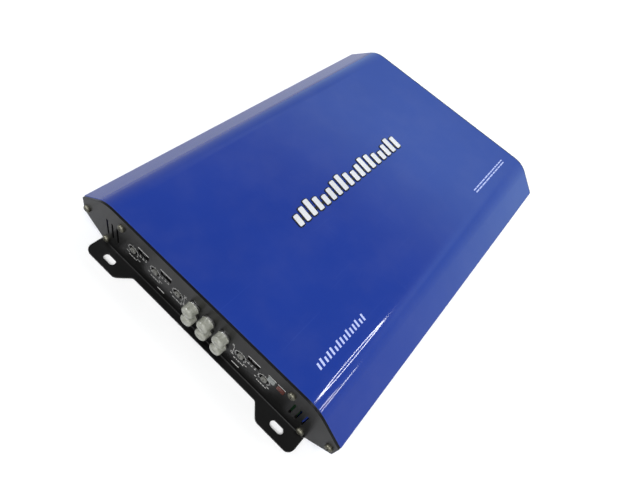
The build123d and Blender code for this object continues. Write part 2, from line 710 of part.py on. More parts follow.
# ------------------------------------------------------------------ terminal blocks
def terminal_block(name, middle, count, pitch, top, cell, screw_r, head_r):
    """A barrier block with open cells to the rear, a contact in each and a screw from above."""
    cell_w, cell_h = cell
    cell_top = CELL_LOW + cell_h
    seat = cell_top + 2.6
    cells = [(middle + (i - (count - 1) / 2) * pitch, CELL_LOW + cell_h / 2) for i in range(count)]
    screw_y = HALF_L + TERMINAL_OUT - 5.4
    wells = [(-x, screw_y) for x, _ in cells]
    with BuildPart() as block:
        with BuildSketch(REAR.offset(TERMINAL_OUT)):
            with Locations((middle, (BOARD_TOP + top) / 2)):
                Rectangle(count * pitch + 2.0, top - BOARD_TOP)
        extrude(amount=-TERMINAL_OUT - PLATE - TERMINAL_IN)
        chamfer(block.edges().filter_by(Axis.X).group_by(Axis.Y)[-1], length=0.6)
        with BuildSketch(REAR.offset(TERMINAL_OUT)):
            with Locations(*cells):
                Rectangle(cell_w, cell_h)
        extrude(amount=-TERMINAL_OUT + 1.0, mode=Mode.SUBTRACT)
        with BuildSketch(Plane.XY.offset(top)):
            with Locations(*wells):
                Circle(head_r + 0.4)
        extrude(amount=seat - top, mode=Mode.SUBTRACT)
        with BuildSketch(Plane.XY.offset(top)):
            with Locations(*wells):
                Circle(screw_r)
        extrude(amount=cell_top - top - 0.1, mode=Mode.SUBTRACT)
    save(block.part, f"{name}_terminal_block")
    with BuildPart() as contacts:
        with BuildSketch(REAR.offset(TERMINAL_OUT - 1.2)):
            with Locations(*[(x, CELL_LOW + 0.6) for x, _ in cells]):
                Rectangle(cell_w - 0.4, 1.2)
        extrude(amount=-TERMINAL_OUT + 2.2)
        with BuildSketch(REAR.offset(1.0)):
            with Locations(*cells):
                Rectangle(cell_w - 0.4, cell_h)
        extrude(amount=1.2)
    save(contacts.part, f"{name}_terminal_contacts")
    screw_set(
        f"{name}_terminal_screws",
        Plane.XY.offset(seat),
        wells,
        screw(head_r, 2.2, screw_r, seat - CELL_LOW - 6.9),
    )


terminal_block("speaker", SPEAKER_X, SPEAKER_COUNT, SPEAKER_PITCH, SPEAKER_TOP, (6.8, 8.6), 1.7, 2.7)
terminal_block("power", POWER_X, POWER_COUNT, POWER_PITCH, POWER_TOP, (10.6, 10.6), 2.2, 3.8)

# ------------------------------------------------------------------ fuses
FUSE_T = 5.2
FUSE_W = 19.0
FUSE_GAP = 0.4
BLADE_W = 5.2
BLADE_T = 0.65
BLADE_L = 6.4
BLADE_SPREAD = 6.9
HOLDER_OUT = 3.0
FUSE_BACK = HOLDER_OUT - 1.7
FUSE_FRONT = 13.0
blades = [(x, FUSE_Z + dz) for x in FUSE_X for dz in (-BLADE_SPREAD, BLADE_SPREAD)]
with BuildPart() as fuse_holder:
    with BuildSketch(REAR.offset(HOLDER_OUT)):
        with Locations((sum(FUSE_X) / 2, FUSE_Z)):
            Rectangle(HOLDER_W, HOLDER_H)
    extrude(amount=-HOLDER_OUT - PLATE - 6.0)
    chamfer(fuse_holder.faces().sort_by(Axis.Y)[-1].edges(), length=0.5)
    with BuildSketch(REAR.offset(HOLDER_OUT)):
        with Locations(*[(x, FUSE_Z) for x in FUSE_X]):
            Rectangle(FUSE_T + 2 * FUSE_GAP, FUSE_W + 2 * FUSE_GAP)
    extrude(amount=-2.0, mode=Mode.SUBTRACT)
    with BuildSketch(REAR.offset(HOLDER_OUT)):
        with Locations(*blades):
            Rectangle(BLADE_T + 0.7, BLADE_W + 0.7)
    extrude(amount=-2.0 - BLADE_L - 0.4, mode=Mode.SUBTRACT)
save(fuse_holder.part, "fuse_holder")

for number, x in enumerate(FUSE_X, start=1):
    with BuildPart() as fuse:
        with BuildSketch(REAR.offset(FUSE_BACK)):
            with Locations((x, FUSE_Z)):
                RectangleRounded(FUSE_T - 0.8, FUSE_W - 1.6, 0.8)
        extrude(amount=FUSE_FRONT - FUSE_BACK - 3.4)
        with BuildSketch(REAR.offset(FUSE_FRONT - 3.4)):
            with Locations((x, FUSE_Z)):
                RectangleRounded(FUSE_T, FUSE_W, 1.0)
        extrude(amount=3.4)
        fillet(fuse.faces().sort_by(Axis.Y)[-1].edges(), radius=0.4)
        with BuildSketch(REAR.offset(FUSE_BACK)):
            with Locations((x, FUSE_Z - BLADE_SPREAD), (x, FUSE_Z + BLADE_SPREAD)):
                Rectangle(BLADE_T, BLADE_W)
        extrude(amount=-BLADE_L)
    save(fuse.part, f"fuse_{number}")
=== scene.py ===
import math
import random

import bmesh
import bpy
from mathutils import Matrix, Vector


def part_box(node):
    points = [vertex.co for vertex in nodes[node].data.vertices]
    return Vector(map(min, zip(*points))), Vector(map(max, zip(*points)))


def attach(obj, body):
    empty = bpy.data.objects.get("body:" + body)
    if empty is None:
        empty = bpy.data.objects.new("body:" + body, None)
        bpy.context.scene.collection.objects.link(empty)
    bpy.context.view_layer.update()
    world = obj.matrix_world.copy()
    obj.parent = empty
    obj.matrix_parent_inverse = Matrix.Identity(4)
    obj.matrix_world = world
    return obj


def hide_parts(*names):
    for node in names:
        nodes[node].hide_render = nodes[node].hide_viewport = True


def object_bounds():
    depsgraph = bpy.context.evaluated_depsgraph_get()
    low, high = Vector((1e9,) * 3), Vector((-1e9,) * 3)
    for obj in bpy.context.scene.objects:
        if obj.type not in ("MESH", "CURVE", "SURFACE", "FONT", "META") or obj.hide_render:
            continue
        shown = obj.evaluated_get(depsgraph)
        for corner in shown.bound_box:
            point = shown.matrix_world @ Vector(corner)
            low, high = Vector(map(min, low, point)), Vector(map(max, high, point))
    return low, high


# Looks for a car amplifier: lacquered cover, coated end plates, soft dust caps on the input
# jacks, printed marks, and the finish of every part inside. Metres, in the frame of the part.

MM = 0.001
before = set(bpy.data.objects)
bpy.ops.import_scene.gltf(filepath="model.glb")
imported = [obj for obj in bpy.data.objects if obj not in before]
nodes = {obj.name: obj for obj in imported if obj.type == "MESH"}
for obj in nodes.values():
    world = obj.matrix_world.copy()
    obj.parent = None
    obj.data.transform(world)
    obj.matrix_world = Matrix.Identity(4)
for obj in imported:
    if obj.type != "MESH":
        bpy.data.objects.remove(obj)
cad_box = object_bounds()


# ------------------------------------------------------------------ places taken from the part
cover_low, cover_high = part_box("heatsink_cover")
plate_sheet = 1.6 * MM
control_face = cover_low.y - plate_sheet
terminal_face = cover_high.y + plate_sheet
top_face = cover_high.z


def middle(node):
    """The middle of a node's box."""
    low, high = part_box(node)
    return (low + high) / 2


# ------------------------------------------------------------------ small tools
def tone(red, green, blue):
    """An opaque colour of three linear parts."""
    return (red, green, blue, 1.0)


def add_mesh(name, work, material):
    """The finished mesh under work, put into the scene with one material."""
    mesh = bpy.data.meshes.new(name)
    work.to_mesh(mesh)
    work.free()
    mesh.materials.append(material)
    made = bpy.data.objects.new(name, mesh)
    bpy.context.scene.collection.objects.link(made)
    return made


def turns_round(count):
    """Angles that go once round, evenly spaced."""
    return [math.tau * step / count for step in range(count)]


class Wiring:
    """The nodes of one material, group or world, added and joined by short calls."""

    def __init__(self, tree):
        self.tree = tree

    def feed(self, socket, value):
        """Join a socket to another one, or set it to a constant."""
        if isinstance(value, bpy.types.NodeSocket):
            self.tree.links.new(value, socket)
        else:
            socket.default_value = value

    def add(self, kind, feeds=None, **options):
        """One node, with its options and what feeds its sockets."""
        made = self.tree.nodes.new(kind)
        for option, value in options.items():
            setattr(made, option, value)
        for socket, value in (feeds or {}).items():
            self.feed(made.inputs[socket], value)
        return made

    def calc(self, operation, *values, clamp=False):
        """One step of arithmetic on numbers or sockets."""
        made = self.add("ShaderNodeMath", operation=operation, use_clamp=clamp)
        for socket, value in zip(made.inputs, values):
            self.feed(socket, value)
        return made.outputs[0]

    def ease(self, value, start, end, low=0.0, high=1.0):
        """Value taken smoothly from low to high as it passes from start to end."""
        feeds = {0: value, 1: start, 2: end, 3: low, 4: high}
        return self.add("ShaderNodeMapRange", feeds, interpolation_type="SMOOTHSTEP").outputs[0]

    def mix(self, share, first, second, blend="MIX"):
        """Two colours mixed: none of the second at share 0, only the second at share 1."""
        feeds = {0: share, 6: first, 7: second}
        return self.add("ShaderNodeMix", feeds, data_type="RGBA", blend_type=blend).outputs[2]

    def noise(self, vector, scale, detail=2.0, roughness=0.5):
        """Cloudy noise from 0 to 1, finer as the scale goes up."""
        feeds = {"Vector": vector, "Scale": scale, "Detail": detail, "Roughness": roughness}
        return self.add("ShaderNodeTexNoise", feeds).outputs[0]

    def place(self, group, **values):
        """One of the shared effect groups, with this material's own values."""
        made = self.add("ShaderNodeGroup", node_tree=bpy.data.node_groups[group])
        for name, value in values.items():
            self.feed(made.inputs[name.replace("_", " ")], value)
        return made.outputs

    def own_space(self):
        """Places measured on the piece itself, so that the finish moves with it."""
        return self.add("ShaderNodeTexCoord").outputs["Object"]


# ------------------------------------------------------------------ camera and light
def set_camera():
    """The camera above the control end, turned to put the case corner-on."""
    eye = Vector((0.07823, -0.27023, 0.3206))
    aim = Vector((0.01741, -0.07128, 0.0513))
    roll = math.radians(28.0)
    view = bpy.data.cameras.new("studio_camera")
    view.lens = 26.675
    view.sensor_width = 36.0
    view.clip_start = 0.01
    view.dof.use_dof = False
    camera = bpy.data.objects.new("studio_camera", view)
    turn = (aim - eye).to_track_quat("-Z", "Y").to_matrix().to_4x4()
    camera.matrix_world = Matrix.Translation(eye) @ turn @ Matrix.Rotation(roll, 4, "Z")
    bpy.context.scene.collection.objects.link(camera)
    bpy.context.scene.camera = camera


def set_world():
    """A soft room: dim overhead, brighter low down, with a cool bright wall beyond the terminal end.

    Seen directly it is one pale backdrop.
    """
    world = bpy.data.worlds.new("soft_room")
    world.use_nodes = True
    wiring = Wiring(world.node_tree)
    direction = wiring.add("ShaderNodeTexCoord").outputs["Generated"]
    axes = wiring.add("ShaderNodeSeparateXYZ", {0: direction}).outputs
    overhead, low_down = 0.26, 0.62
    height = wiring.calc("MAXIMUM", axes[2], 0.0)
    room = wiring.calc("MULTIPLY_ADD", height, overhead - low_down, low_down)
    wall = wiring.calc("MULTIPLY", wiring.ease(axes[2], 0.8, 0.62), wiring.ease(axes[1], 0.3, 0.85))
    glow = wiring.ease(axes[2], 0.5, 0.62, 0.38, 0.8)
    strength = wiring.calc("MULTIPLY_ADD", wall, glow, room)
    color = wiring.mix(wall, tone(0.98, 0.99, 1.0), tone(0.7, 0.97, 1.2))
    direct = wiring.add("ShaderNodeLightPath").outputs["Is Camera Ray"]
    color = wiring.mix(direct, color, tone(1.0, 1.0, 1.0))
    strength = wiring.calc("MAXIMUM", strength, direct)
    backdrop = world.node_tree.nodes["Background"]
    wiring.feed(backdrop.inputs["Color"], color)
    wiring.feed(backdrop.inputs["Strength"], strength)
    bpy.context.scene.world = world


def set_sun():
    """One broad soft key from high up, on the control end's side."""
    light = bpy.data.lights.new("soft_key", "SUN")
    light.energy = 2.8
    light.angle = math.radians(58.0)
    lamp = bpy.data.objects.new("soft_key", light)
    towards_lamp = Vector((0.2, -0.5, 0.84))
    lamp.rotation_euler = towards_lamp.to_track_quat("Z", "Y").to_euler()
    bpy.context.scene.collection.objects.link(lamp)


def glowing(name, strength):
    """The glow of a studio lamp, a little uneven over its face."""
    material = bpy.data.materials.new(name)
    material.use_nodes = True
    wiring = Wiring(material.node_tree)
    shader = material.node_tree.nodes["Principled BSDF"]
    drift = wiring.noise(wiring.own_space(), 6.0)
    color = wiring.mix(drift, tone(0.94, 0.96, 1.0), tone(1.0, 1.0, 1.0))
    wiring.feed(shader.inputs["Emission Color"], color)
    shader.inputs["Emission Strength"].default_value = strength
    shader.inputs["Base Color"].default_value = tone(0.0, 0.0, 0.0)
    return material


def stage_lamp(name, bands, strength):
    """A flat glowing lamp: each band lies between two rows of points and may close on itself."""
    work = bmesh.new()
    for inner, outer, closed in bands:
        near = [work.verts.new(point) for point in inner]
        far = [work.verts.new(point) for point in outer]
        count = len(inner)
        for index in range(count if closed else count - 1):
            after = (index + 1) % count
            work.faces.new((near[index], near[after], far[after], far[index]))
    lamp = add_mesh(name, work, glowing(name + "_glow", strength))
    lamp.visible_camera = False
    lamp.visible_shadow = False
    return lamp


def set_ring_lamp():
    """A long oval ring lamp: its gloss shows as a closed loop along the shoulder of the cover."""
    centre = Vector((0.622, 0.644, 1.366))
    along = Vector((-0.042, 0.18, -0.092))
    across = Vector((0.125, 0.01, -0.03))
    inner, outer = [
        [
            centre + along * reach * math.cos(turn) + across * spread * math.sin(turn)
            for turn in turns_round(64)
        ]
        for reach, spread in ((0.74, 0.7), (1.0, 1.0))
    ]
    stage_lamp("oval_ring_lamp", [(inner, outer, True)], 30.0)


def set_tube_lamps():
    """Two tube lamps, seen as a fine double line lower on the shoulder."""
    half_width = Vector((0.026, 0.003, -0.016))
    runs = [
        (Vector((1.361, 0.534, 1.283)), Vector((1.319, 0.631, 1.237))),
        (Vector((1.600, 0.590, 1.206)), Vector((1.397, 0.775, 1.142))),
    ]
    bands = [
        ([start - half_width, end - half_width], [start + half_width, end + half_width], False)
        for start, end in runs
    ]
    stage_lamp("side_tube_lamps", bands, 20.0)


def set_panel_lamp():
    """A small square lamp that only glossy surfaces show, such as the soft caps and the screws."""
    centre = Vector((-0.84, -0.47, 0.8))
    half_side = 0.13
    facing = centre.normalized()
    side = facing.cross(Vector((0.0, 0.0, 1.0))).normalized() * half_side
    rise = side.cross(facing).normalized() * half_side
    left = [centre - side - rise, centre - side + rise]
    right = [centre + side - rise, centre + side + rise]
    lamp = stage_lamp("small_panel_lamp", [(left, right, False)], 40.0)
    lamp.visible_diffuse = False


# ------------------------------------------------------------------ shared surface effects
def shader_group(name, inputs, outputs):
    """An empty effect group with named sockets: its wiring, what it is given and its result."""
    group = bpy.data.node_groups.new(name, "ShaderNodeTree")
    for label, (kind, value) in inputs.items():
        socket = group.interface.new_socket(label, in_out="INPUT", socket_type="NodeSocket" + kind)
        socket.default_value = value
    for label, kind in outputs.items():
        group.interface.new_socket(label, in_out="OUTPUT", socket_type="NodeSocket" + kind)
    wiring = Wiring(group)
    return wiring, wiring.add("NodeGroupInput").outputs, wiring.add("NodeGroupOutput").inputs


def build_surface_grain():
    """Fine even grain, and a slow drift across the piece."""
    wiring, given, result = shader_group(
        "surface_grain",
        {"Grain Size": ("Float", 0.0005), "Drift Size": ("Float", 0.06)},
        {"Height": "Float", "Drift": "Float"},
    )
    space = wiring.own_space()
    fine = wiring.noise(space, wiring.calc("DIVIDE", 1.0, given["Grain Size"]), 3.0, 0.6)
    drift = wiring.noise(space, wiring.calc("DIVIDE", 1.0, given["Drift Size"]), 3.0, 0.5)
    wiring.feed(result["Height"], fine)
    wiring.feed(result["Drift"], wiring.ease(drift, 0.3, 0.7))


def build_orange_peel():
    """The soft ripple of sprayed gloss lacquer, with a few tiny nibs caught in it."""
    wiring, given, result = shader_group(
        "orange_peel",
        {"Ripple Size": ("Float", 0.002), "Nibs": ("Float", 0.5)},
        {"Height": "Float", "Nib Mask": "Float"},
    )
    space = wiring.own_space()
    scale = wiring.calc("DIVIDE", 1.0, given["Ripple Size"])
    ripple = wiring.noise(space, scale, 1.0, 0.4)
    swell = wiring.noise(space, wiring.calc("MULTIPLY", scale, 0.13), 1.0, 0.4)
    speck = wiring.add("ShaderNodeTexVoronoi", {"Vector": space, "Scale": 90.0, "Randomness": 1.0})
    chance = wiring.add("ShaderNodeSeparateColor", {0: speck.outputs["Color"]}).outputs[0]
    near = wiring.ease(speck.outputs["Distance"], 0.035, 0.012)
    nib = wiring.calc("MULTIPLY", near, wiring.ease(chance, 0.86, 0.9))
    nib = wiring.calc("MULTIPLY", nib, given["Nibs"])
    slow = wiring.calc("MULTIPLY_ADD", swell, 2.2, ripple)
    wiring.feed(result["Height"], wiring.calc("ADD", slow, nib))
    wiring.feed(result["Nib Mask"], nib)


def build_dust_film():
    """Light dust lying on upward faces, thicker in patches, with a few specks."""
    wiring, given, result = shader_group(
        "dust_film",
        {"Color": ("Color", (0.5, 0.5, 0.5, 1.0)), "Amount": ("Float", 0.2)},
        {"Color": "Color", "Mask": "Float"},
    )
    space = wiring.own_space()
    facing = wiring.add("ShaderNodeNewGeometry").outputs["Normal"]
    upward = wiring.add("ShaderNodeSeparateXYZ", {0: facing}).outputs[2]
    lying = wiring.ease(upward, -0.3, 0.9, 0.25, 1.0)
    patches = wiring.ease(wiring.noise(space, 28.0, 4.0, 0.6), 0.35, 0.75)
    specks = wiring.ease(wiring.noise(space, 1400.0, 1.0, 0.5), 0.68, 0.76)
    film = wiring.calc("MULTIPLY_ADD", specks, 0.6, patches)
    mask = wiring.calc("MULTIPLY", wiring.calc("MULTIPLY", film, lying), given["Amount"], clamp=True)
    wiring.feed(result["Mask"], mask)
    wiring.feed(result["Color"], wiring.mix(mask, given["Color"], tone(0.42, 0.41, 0.39)))


def build_edge_wear():
    """Where corners are rubbed: the bevelled normal leaves the true one there."""
    wiring, given, result = shader_group(
        "edge_wear", {"Radius": ("Float", 0.0004), "Amount": ("Float", 0.5)}, {"Mask": "Float"}
    )
    rounded = wiring.add("ShaderNodeBevel", {"Radius": given["Radius"]}, samples=6).outputs[0]
    flat = wiring.add("ShaderNodeNewGeometry").outputs["Normal"]
    agreement = wiring.add("ShaderNodeVectorMath", {0: rounded, 1: flat}, operation="DOT_PRODUCT")
    corner = wiring.ease(agreement.outputs["Value"], 0.99, 0.86)
    patchy = wiring.ease(wiring.noise(wiring.own_space(), 420.0, 4.0, 0.65), 0.38, 0.62)
    worn = wiring.calc("MULTIPLY", corner, wiring.calc("MULTIPLY_ADD", patchy, 0.75, 0.25))
    wiring.feed(result["Mask"], wiring.calc("MULTIPLY", worn, given["Amount"], clamp=True))


def build_hairline_scratches():
    """Sparse hairlines in two directions, as handling leaves on a smooth face."""
    wiring, given, result = shader_group(
        "hairline_scratches", {"Amount": ("Float", 0.3)}, {"Mask": "Float"}
    )
    space = wiring.own_space()
    marks = []
    for turn, stretch in ((0.5, (1300.0, 16.0, 1300.0)), (-0.9, (22.0, 1500.0, 1500.0))):
        feeds = {"Vector": space, "Rotation": (0.0, 0.0, turn), "Scale": stretch}
        lines = wiring.noise(wiring.add("ShaderNodeMapping", feeds).outputs[0], 1.0, 1.0, 0.4)
        marks.append(wiring.ease(lines, 0.735, 0.77))
    patches = wiring.ease(wiring.noise(space, 17.0, 1.0, 0.5), 0.45, 0.6)
    lines = wiring.calc("MULTIPLY", wiring.calc("MAXIMUM", *marks), patches)
    wiring.feed(result["Mask"], wiring.calc("MULTIPLY", lines, given["Amount"], clamp=True))


def build_drawn_lines():
    """The lines that drawing, turning or brushing leaves in metal."""
    wiring, given, result = shader_group(
        "drawn_lines", {"Stretch": ("Vector", (60.0, 3000.0, 3000.0))}, {"Height": "Float"}
    )
    feeds = {"Vector": wiring.own_space(), "Scale": given["Stretch"]}
    stretched = wiring.add("ShaderNodeMapping", feeds).outputs[0]
    wiring.feed(result["Height"], wiring.noise(stretched, 1.0, 3.0, 0.7))


# ------------------------------------------------------------------ finishes
def start_finish(name):
    """A material with its wiring and its shader, taking the place of one with that name."""
    old = bpy.data.materials.get(name)
    if old:
        old.name = "plain_" + name
    material = bpy.data.materials.new(name)
    material.use_nodes = True
    shader = material.node_tree.nodes["Principled BSDF"]
    return material, Wiring(material.node_tree), shader


def relief(wiring, shader, height, depth, strength=1.0):
    """Surface relief of that height map, depth in metres."""
    bump = wiring.add("ShaderNodeBump", {"Height": height, "Distance": depth, "Strength": strength})
    wiring.feed(shader.inputs["Normal"], bump.outputs[0])


def moulded_finish(name, light, dark, rough=0.5, swing=0.08, grain=0.0006, depth=0.00002,
                   dust=0.15, worn=None, rub=0.0004, scratches=0.0, lines=None, **fixed):
    """A finish with grain and slow tone drift, and with the dust, rubbed edges, hairlines and
    drawn lines that are asked for. Any other named value is set on the shader as it is.
    """
    material, wiring, shader = start_finish(name)
    surface = wiring.place("surface_grain", Grain_Size=grain)
    color = wiring.mix(surface["Drift"], dark, light)
    mottle = wiring.ease(surface["Height"], 0.3, 0.7, 0.9, 1.06)
    gain = wiring.add("ShaderNodeCombineColor", {0: mottle, 1: mottle, 2: mottle}).outputs[0]
    color = wiring.mix(1.0, color, gain, "MULTIPLY")
    height = surface["Height"]
    roughness = wiring.calc("MULTIPLY_ADD", surface["Drift"], swing, rough - swing / 2)
    if lines:
        drawn = wiring.place("drawn_lines", Stretch=lines)["Height"]
        height = wiring.calc("MULTIPLY_ADD", drawn, 1.5, height)
        roughness = wiring.calc("MULTIPLY_ADD", wiring.ease(drawn, 0.35, 0.65), 0.12, roughness)
    if worn:
        corner = wiring.place("edge_wear", Radius=rub, Amount=0.6)["Mask"]
        color = wiring.mix(corner, color, worn)
        roughness = wiring.calc("MULTIPLY_ADD", corner, -0.12, roughness)
    if scratches:
        hair = wiring.place("hairline_scratches", Amount=scratches)["Mask"]
        color = wiring.mix(hair, color, worn or light)
        height = wiring.calc("MULTIPLY_ADD", hair, -1.0, height)
    if dust:
        film = wiring.place("dust_film", Color=color, Amount=dust)
        color = film["Color"]
        roughness = wiring.calc("MULTIPLY_ADD", film["Mask"], 0.3, roughness, clamp=True)
    wiring.feed(shader.inputs["Base Color"], color)
    wiring.feed(shader.inputs["Roughness"], roughness)
    relief(wiring, shader, height, depth)
    for socket, value in fixed.items():
        shader.inputs[socket.replace("_", " ")].default_value = value
    return material


def make_cover_paint():
    """Royal-blue gloss lacquer: a soft ripple, slow tone drift, a few nibs and hairlines."""
    material, wiring, shader = start_finish("cover_paint")
    surface = wiring.place("surface_grain", Grain_Size=0.0009, Drift_Size=0.09)
    peel = wiring.place("orange_peel", Ripple_Size=0.0022, Nibs=0.6)
    color = wiring.mix(surface["Drift"], tone(0.0032, 0.0262, 0.23), tone(0.0046, 0.0295, 0.246))
    fleck = wiring.ease(surface["Height"], 0.56, 0.74, 0.0, 0.14)
    color = wiring.mix(fleck, color, tone(0.012, 0.055, 0.34))
    corner = wiring.place("edge_wear", Radius=0.0006, Amount=0.3)["Mask"]
    color = wiring.mix(corner, color, tone(0.02, 0.05, 0.2))
    hair = wiring.place("hairline_scratches", Amount=0.25)["Mask"]
    color = wiring.mix(hair, color, tone(0.03, 0.07, 0.33))
    film = wiring.place("dust_film", Color=color, Amount=0.018)
    wiring.feed(shader.inputs["Base Color"], film["Color"])
    roughness = wiring.calc("MULTIPLY_ADD", surface["Drift"], 0.02, 0.05)
    roughness = wiring.calc("MULTIPLY_ADD", hair, 0.25, roughness)
    roughness = wiring.calc("MULTIPLY_ADD", film["Mask"], 0.5, roughness)
    wiring.feed(shader.inputs["Roughness"], roughness)
    shader.inputs["IOR"].default_value = 1.52
    relief(wiring, shader, peel["Height"], 0.0000015)
    return material


def make_plate_coat():
    """Near-black satin powder coat over steel, paler where corners are rubbed."""
    return moulded_finish(
        "end_plate_coat", tone(0.003, 0.003, 0.003), tone(0.0015, 0.0015, 0.0015), rough=0.34, swing=0.08,
        grain=0.00045, depth=0.000014, dust=0.003, worn=tone(0.03, 0.03, 0.028), rub=0.0005,
        scratches=0.1, Specular_IOR_Level=0.2)


def make_epoxy_device():
    """Black epoxy body: bright tinned legs below it and a tinned tab behind."""
    material, wiring, shader = start_finish("device_epoxy")
    surface = wiring.place("surface_grain", Grain_Size=0.0004)
    place = wiring.add("ShaderNodeSeparateXYZ", {0: wiring.own_space()}).outputs
    body_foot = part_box("transistor_clamps")[0].z - 6.5 * MM
    legs = wiring.calc("LESS_THAN", place[2], body_foot)
    body = wiring.mix(surface["Drift"], tone(0.016, 0.016, 0.017), tone(0.026, 0.026, 0.027))
    tin = wiring.mix(surface["Height"], tone(0.5, 0.5, 0.49), tone(0.66, 0.66, 0.65))
    film = wiring.place("dust_film", Color=wiring.mix(legs, body, tin), Amount=0.2)
    wiring.feed(shader.inputs["Base Color"], film["Color"])
    wiring.feed(shader.inputs["Metallic"], legs)
    wiring.feed(shader.inputs["Roughness"], wiring.calc("MULTIPLY_ADD", legs, -0.25, 0.55))
    relief(wiring, shader, surface["Height"], 0.00002)
    return material


def make_fuse_plastic():
    """Translucent green fuse body; zinc blades on the part that goes into the holder."""
    material, wiring, shader = start_finish("fuse_plastic")
    surface = wiring.place("surface_grain", Grain_Size=0.0007)
    place = wiring.add("ShaderNodeSeparateXYZ", {0: wiring.own_space()}).outputs
    blade_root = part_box("fuse_holder")[1].y - 1.0 * MM
    blades = wiring.calc("LESS_THAN", place[1], blade_root)
    body = wiring.mix(surface["Drift"], tone(0.02, 0.27, 0.07), tone(0.035, 0.36, 0.1))
    zinc = wiring.mix(surface["Height"], tone(0.42, 0.43, 0.44), tone(0.58, 0.59, 0.6))
    film = wiring.place("dust_film", Color=wiring.mix(blades, body, zinc), Amount=0.15)
    wiring.feed(shader.inputs["Base Color"], film["Color"])
    wiring.feed(shader.inputs["Metallic"], blades)
    wiring.feed(shader.inputs["Roughness"], wiring.calc("MULTIPLY_ADD", blades, 0.15, 0.2))
    shader.inputs["Subsurface Weight"].default_value = 0.25
    shader.inputs["Subsurface Scale"].default_value = 0.002
    relief(wiring, shader, surface["Height"], 0.00002)
    return material


def make_soft_vinyl():
    """Milky soft vinyl: cloudy, slightly uneven, with a moist gloss."""
    material, wiring, shader = start_finish("soft_cap")
    surface = wiring.place("surface_grain", Grain_Size=0.0008, Drift_Size=0.004)
    color = wiring.mix(surface["Drift"], tone(0.25, 0.255, 0.215), tone(0.33, 0.335, 0.295))
    film = wiring.place("dust_film", Color=color, Amount=0.06)
    wiring.feed(shader.inputs["Base Color"], film["Color"])
    wiring.feed(shader.inputs["Roughness"], wiring.calc("MULTIPLY_ADD", surface["Drift"], 0.08, 0.1))
    shader.inputs["Subsurface Weight"].default_value = 0.35
    shader.inputs["Subsurface Radius"].default_value = (1.0, 1.0, 0.85)
    shader.inputs["Subsurface Scale"].default_value = 0.0012
    shader.inputs["IOR"].default_value = 1.5
    relief(wiring, shader, wiring.calc("MULTIPLY_ADD", surface["Drift"], 3.0, surface["Height"]), 0.00005)
    return material


def make_circuit_board():
    """Green solder mask with copper tracks under it and bare fibreglass edges."""
    material, wiring, shader = start_finish("circuit_board")
    surface = wiring.place("surface_grain", Grain_Size=0.0005)
    feeds = {"Vector": wiring.own_space(), "Scale": 190.0, "Randomness": 0.3}
    tracks = wiring.add("ShaderNodeTexVoronoi", feeds, distance="CHEBYCHEV", feature="F1")
    track = wiring.ease(tracks.outputs["Distance"], 0.3, 0.34)
    mask = wiring.mix(surface["Drift"], tone(0.008, 0.075, 0.028), tone(0.012, 0.1, 0.04))
    color = wiring.mix(track, mask, tone(0.035, 0.17, 0.06))
    film = wiring.place("dust_film", Color=color, Amount=0.3)
    wiring.feed(shader.inputs["Base Color"], film["Color"])
    wiring.feed(shader.inputs["Roughness"], wiring.calc("MULTIPLY_ADD", surface["Drift"], 0.1, 0.3))
    relief(wiring, shader, wiring.calc("MULTIPLY_ADD", track, 1.5, surface["Height"]), 0.00003)
    return material


def make_copper_winding():
    """Enamelled wire lying in turns, with painted shade in the grooves between turns and a painted highlight
    along each crown.
    """
    material, wiring, shader = start_finish("copper_winding")
    feeds = {"Vector": wiring.own_space(), "Scale": 260.0, "Distortion": 0.6, "Detail": 1.0}
    turns = wiring.add("ShaderNodeTexWave", feeds, wave_type="BANDS", bands_direction="DIAGONAL")
    surface = wiring.place("surface_grain", Grain_Size=0.0006)
    # The colour follows the relief bands: painted shade in each groove between turns, painted highlight on
    # each crown.
    color = wiring.mix(turns.outputs[1], tone(0.12, 0.03, 0.01), tone(0.5, 0.17, 0.05))
    color = wiring.mix(wiring.calc("MULTIPLY", surface["Drift"], 0.3), color, tone(0.3, 0.08, 0.03))
    film = wiring.place("dust_film", Color=color, Amount=0.15)
    wiring.feed(shader.inputs["Base Color"], film["Color"])
    wiring.feed(shader.inputs["Roughness"], wiring.calc("MULTIPLY_ADD", surface["Height"], 0.2, 0.22))
    shader.inputs["Metallic"].default_value = 0.6
    relief(wiring, shader, turns.outputs[1], 0.0002)
    return material


def metal(name, light, dark, rough=0.3, **extra):
    """A bare or plated metal."""
    return moulded_finish(name, light, dark, rough=rough, Metallic=1.0, **extra)


